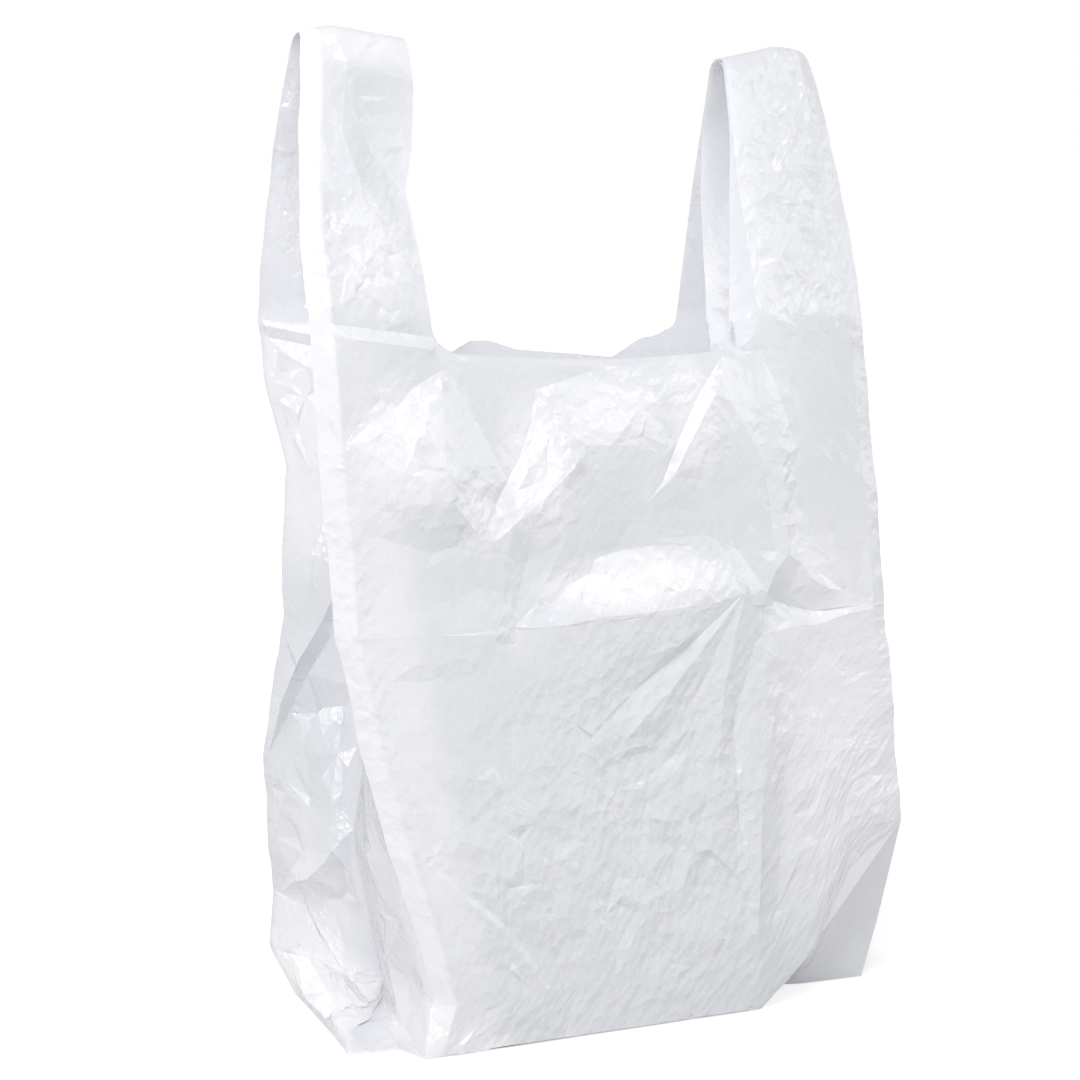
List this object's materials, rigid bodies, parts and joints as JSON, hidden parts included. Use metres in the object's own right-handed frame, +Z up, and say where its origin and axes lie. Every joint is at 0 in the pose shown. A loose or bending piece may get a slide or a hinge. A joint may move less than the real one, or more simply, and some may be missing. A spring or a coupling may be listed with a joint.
{
  "type": "plastic carrier bag",
  "caption": "Thin white plastic film carrier bag with side gussets and loop handles, standing open and empty with packing creases.",
  "frame": {"origin": "middle of the bag's bounding box, on the surface it stands on", "axes": "+Z up from the base to the handles, +X along the panels' width to the right seen from the front, front panel facing -Y"},
  "size_m": [0.3346, 0.1232, 0.4997],
  "materials": {
    "white_film": "thin white polyethylene film, soft gloss, fine crumples"
  },
  "bodies": {
    "root": {"bag_film": "white_film"}
  },
  "joints": []
}
